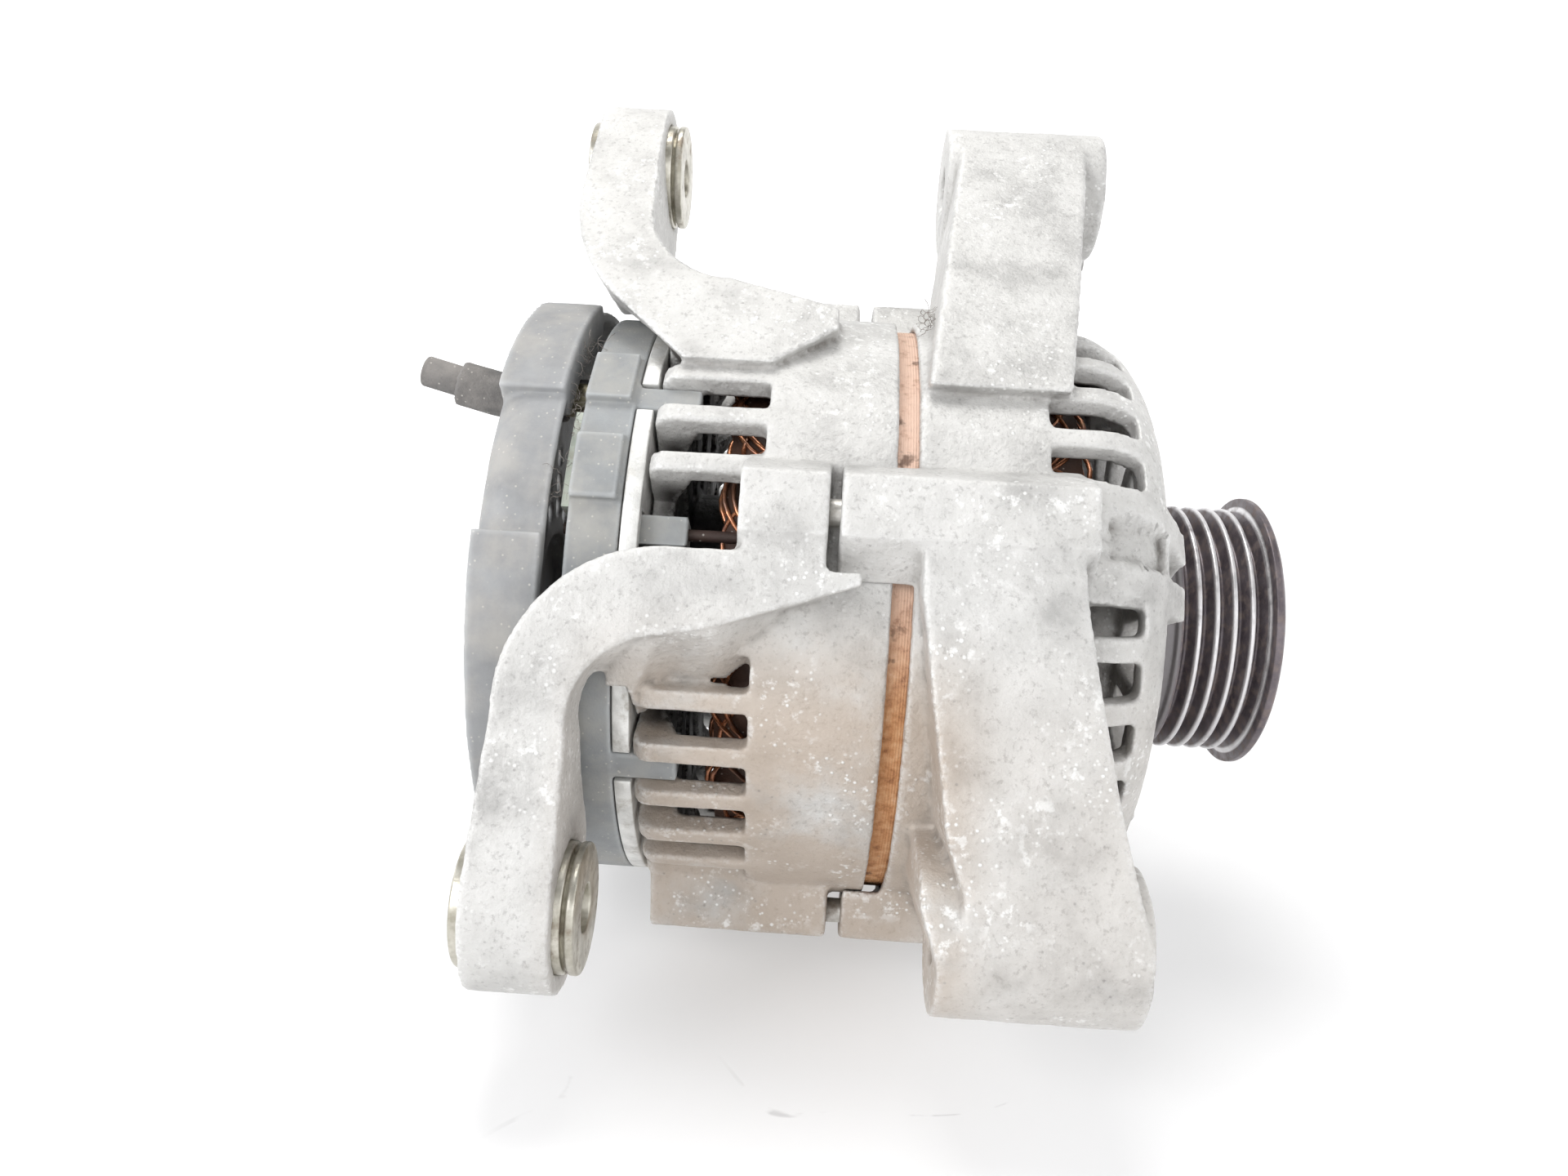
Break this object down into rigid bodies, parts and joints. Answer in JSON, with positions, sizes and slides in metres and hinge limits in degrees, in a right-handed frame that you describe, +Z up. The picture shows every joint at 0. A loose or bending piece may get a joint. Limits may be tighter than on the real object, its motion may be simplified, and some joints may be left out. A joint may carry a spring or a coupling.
{
  "type": "car alternator",
  "caption": "Claw-pole car alternator with slotted aluminium end brackets, four mounting ears, sliding bushes and a ribbed belt pulley.",
  "frame": {"origin": "on the shaft axis, at the middle plane of the drive belt's seat on the pulley", "axes": "+X along the shaft towards the pulley's free end, +Z up with the alternator lying on its body, -Y towards the side with the lower ears"},
  "size_m": [0.1742, 0.1615, 0.1707],
  "materials": {
    "cast_aluminium": "rough casting, oxidised and dirty",
    "stator_steel": "rusted laminations",
    "copper": "varnished copper wire",
    "rotor_steel": "forged and turned steel",
    "pressed_steel": "dull pressed sheet",
    "bearing_steel": "ground and polished",
    "cage_plastic": "moulded nylon",
    "seal_rubber": "moulded rubber seal",
    "pulley_steel": "black coating, worn bright on the crests",
    "plated_steel": "zinc plated, dull",
    "bush_steel": "yellowed zinc plating",
    "heat_sink_aluminium": "stamped sheet",
    "diode_metal": "nickel plated cup",
    "black_plastic": "moulded and dusty",
    "pale_insulator": "translucent, milky green",
    "brush_carbon": "pressed carbon",
    "spring_steel": "drawn wire",
    "tinned_brass": "dull tin plating",
    "boot_rubber": "dusty rubber"
  },
  "bodies": {
    "housing": {"bearing_retainer": "pressed_steel", "brush_1_spring": "spring_steel", "brush_2_spring": "spring_steel", "brush_holder": "black_plastic", "cover_nuts": "plated_steel", "cover_studs": "plated_steel", "drive_end_bracket": "cast_aluminium", "front_bearing_outer_ring": "bearing_steel", "front_bearing_seals": "seal_rubber", "negative_diodes": "diode_metal", "negative_heat_sink": "heat_sink_aluminium", "output_boot": "boot_rubber", "output_lead": "boot_rubber", "output_lug": "tinned_brass", "output_nut": "plated_steel", "output_stud": "plated_steel", "phase_leads": "copper", "plug_pins": "tinned_brass", "positive_diodes": "diode_metal", "positive_heat_sink": "heat_sink_aluminium", "rear_bearing_outer_ring": "bearing_steel", "rear_bearing_seals": "seal_rubber", "rear_bearing_sleeve": "cage_plastic", "rear_cover": "black_plastic", "rectifier_carrier": "black_plastic", "rectifier_screws": "plated_steel", "regulator_body": "black_plastic", "regulator_heat_sink": "heat_sink_aluminium", "regulator_screws": "plated_steel", "retainer_screws": "plated_steel", "sensing_insulator": "pale_insulator", "slip_ring_end_bracket": "cast_aluminium", "stator_core": "stator_steel", "stator_winding": "copper", "through_bolts": "plated_steel"},
    "rotor": {"rotor_shaft": "rotor_steel", "front_claw_pole": "rotor_steel", "rear_claw_pole": "rotor_steel", "field_bobbin": "cage_plastic", "field_coil": "copper", "front_fan": "pressed_steel", "rear_fan": "pressed_steel", "slip_ring_sleeve": "cage_plastic", "front_slip_ring": "copper", "rear_slip_ring": "copper", "shaft_spacer": "rotor_steel", "pulley": "pulley_steel", "pulley_nut": "plated_steel", "front_bearing_inner_ring": "bearing_steel", "rear_bearing_inner_ring": "bearing_steel"},
    "front_cage": {"front_bearing_balls": "bearing_steel", "front_bearing_cage": "cage_plastic"},
    "rear_cage": {"rear_bearing_balls": "bearing_steel", "rear_bearing_cage": "cage_plastic"},
    "brush_1": {"brush_1": "brush_carbon"},
    "brush_2": {"brush_2": "brush_carbon"},
    "upper_bush": {"upper_slide_bush": "bush_steel"},
    "lower_bush": {"lower_slide_bush": "bush_steel"}
  },
  "joints": [
    {"name": "rotor_spin", "type": "hinge", "parent": "housing", "child": "rotor", "pos_m": [0, 0, 0], "axis": [1, 0, 0], "continuous": true},
    {"name": "front_cage_spin", "type": "hinge", "parent": "housing", "child": "front_cage", "pos_m": [0, 0, 0], "axis": [1, 0, 0], "continuous": true},
    {"name": "rear_cage_spin", "type": "hinge", "parent": "housing", "child": "rear_cage", "pos_m": [0, 0, 0], "axis": [1, 0, 0], "continuous": true},
    {"name": "brush_1_slide", "type": "slide", "parent": "housing", "child": "brush_1", "axis": [0, 1, 0], "range_m": [0, 0.004], "stiffness_N_per_m": 260, "springref_m": -0.012, "deforming": ["brush_1_spring"]},
    {"name": "brush_2_slide", "type": "slide", "parent": "housing", "child": "brush_2", "axis": [0, 1, 0], "range_m": [0, 0.004], "stiffness_N_per_m": 260, "springref_m": -0.012, "deforming": ["brush_2_spring"]},
    {"name": "upper_bush_slide", "type": "slide", "parent": "housing", "child": "upper_bush", "axis": [1, 0, 0], "range_m": [-0.002, 0.002]},
    {"name": "lower_bush_slide", "type": "slide", "parent": "housing", "child": "lower_bush", "axis": [1, 0, 0], "range_m": [-0.002, 0.002]}
  ],
  "couplings": [
    {"joint": "front_cage_spin", "follows": "rotor_spin", "ratio": 0.3641},
    {"joint": "rear_cage_spin", "follows": "rotor_spin", "ratio": 0.38}
  ]
}
